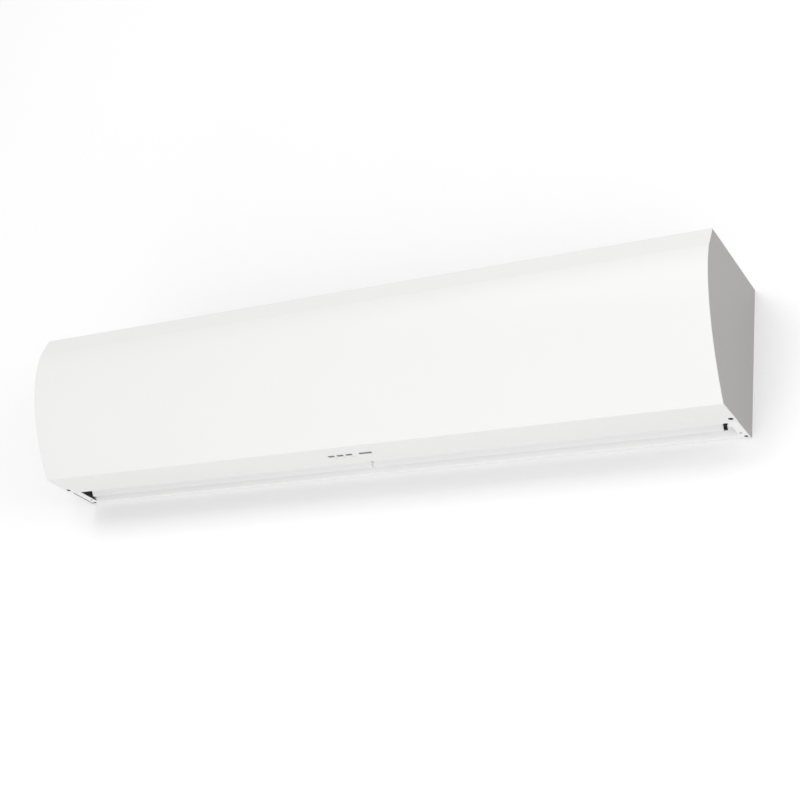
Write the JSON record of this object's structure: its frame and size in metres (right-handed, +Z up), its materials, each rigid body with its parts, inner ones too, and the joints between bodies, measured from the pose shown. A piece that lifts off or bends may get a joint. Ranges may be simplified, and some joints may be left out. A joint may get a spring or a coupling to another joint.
{
  "type": "air curtain",
  "caption": "Wall-mounted air curtain with a curved front cover, top intake grille, cross-flow fan, heater rods, tilting outlet vanes and push keys on the underside.",
  "frame": {"origin": "centre of the wall rail's back face, where the unit hangs on the wall", "axes": "+X along the unit's length, towards the right end seen from the front; +Y into the wall; +Z up"},
  "size_m": [1.5, 0.2531, 0.3108],
  "materials": {
    "white_paint": "satin white powder coat on sheet steel",
    "grey_paint": "fine-textured warm grey powder coat on sheet steel",
    "zinc_steel": "galvanised sheet steel",
    "impeller_metal": "plain rolled aluminium",
    "motor_paint": "semi-matt black motor enamel",
    "heater_steel": "heat-tinted stainless sheath",
    "black_screw": "black oxide screw",
    "dark_plastic": "matt black moulded plastic",
    "key_plastic": "fine-grained grey moulded keys",
    "white_plastic": "matt white moulded plastic",
    "board": "green solder resist on fibreglass",
    "dark_window": "glossy smoked plastic",
    "clear_plastic": "milky light pipe",
    "black_rubber": "matt black rubber"
  },
  "bodies": {
    "casing": {"front_cover": "white_paint", "rear_casing": "white_paint", "left_end_panel": "grey_paint", "right_end_panel": "grey_paint", "outlet_frame": "white_paint", "intake_grille": "grey_paint", "wall_rail": "zinc_steel", "left_wall_pad": "black_rubber", "right_wall_pad": "black_rubber", "left_rear_air_guide": "zinc_steel", "right_rear_air_guide": "zinc_steel", "left_cutoff_plate": "zinc_steel", "right_cutoff_plate": "zinc_steel", "motor_shield": "zinc_steel", "left_outer_fan_plate": "zinc_steel", "right_outer_fan_plate": "zinc_steel", "left_inner_fan_plate": "zinc_steel", "right_inner_fan_plate": "zinc_steel", "left_bearing": "impeller_metal", "right_bearing": "impeller_metal", "left_bearing_cushion": "black_rubber", "right_bearing_cushion": "black_rubber", "left_motor_ring": "black_rubber", "right_motor_ring": "black_rubber", "motor_body": "motor_paint", "left_heater_rod_1": "heater_steel", "left_heater_rod_2": "heater_steel", "left_heater_rod_3": "heater_steel", "right_heater_rod_1": "heater_steel", "right_heater_rod_2": "heater_steel", "right_heater_rod_3": "heater_steel", "overheat_cutout": "dark_plastic", "centre_vane_bracket": "white_plastic", "left_vane_bracket": "dark_plastic", "right_vane_bracket": "dark_plastic", "receiver_window": "dark_window", "light_pipe": "clear_plastic", "key_carrier": "dark_plastic", "control_board": "board", "electrics_box": "zinc_steel", "electrics_box_lid": "zinc_steel", "terminal_block": "white_plastic", "motor_capacitor": "white_plastic", "gland_plate": "zinc_steel", "cable_gland": "dark_plastic", "gland_locknut": "dark_plastic", "left_cover_screw": "black_screw", "right_cover_screw": "black_screw", "left_frame_screw": "black_screw", "right_frame_screw": "black_screw", "left_bracket_screw": "zinc_steel", "right_bracket_screw": "zinc_steel"},
    "fan_rotor": {"motor_shaft": "zinc_steel", "left_impeller": "impeller_metal", "right_impeller": "impeller_metal"},
    "left_vane": {"left_vane": "white_paint"},
    "right_vane": {"right_vane": "white_paint"},
    "key_1": {"key_1": "key_plastic"},
    "key_2": {"key_2": "key_plastic"},
    "key_3": {"key_3": "key_plastic"}
  },
  "joints": [
    {"name": "fan_spin", "type": "hinge", "parent": "casing", "child": "fan_rotor", "pos_m": [0, -0.112, -0.06], "axis": [1, 0, 0], "continuous": true},
    {"name": "left_vane_tilt", "type": "hinge", "parent": "casing", "child": "left_vane", "pos_m": [-0.36, -0.05, -0.2279], "axis": [1, 0, 0], "range_deg": [-25, 25]},
    {"name": "right_vane_tilt", "type": "hinge", "parent": "casing", "child": "right_vane", "pos_m": [0.36, -0.05, -0.2279], "axis": [1, 0, 0], "range_deg": [-25, 25]},
    {"name": "key_1_press", "type": "slide", "parent": "casing", "child": "key_1", "axis": [0, 0, 1], "range_m": [0, 0.0012], "stiffness_N_per_m": 400, "springref_m": -0.0005},
    {"name": "key_2_press", "type": "slide", "parent": "casing", "child": "key_2", "axis": [0, 0, 1], "range_m": [0, 0.0012], "stiffness_N_per_m": 400, "springref_m": -0.0005},
    {"name": "key_3_press", "type": "slide", "parent": "casing", "child": "key_3", "axis": [0, 0, 1], "range_m": [0, 0.0012], "stiffness_N_per_m": 400, "springref_m": -0.0005}
  ]
}
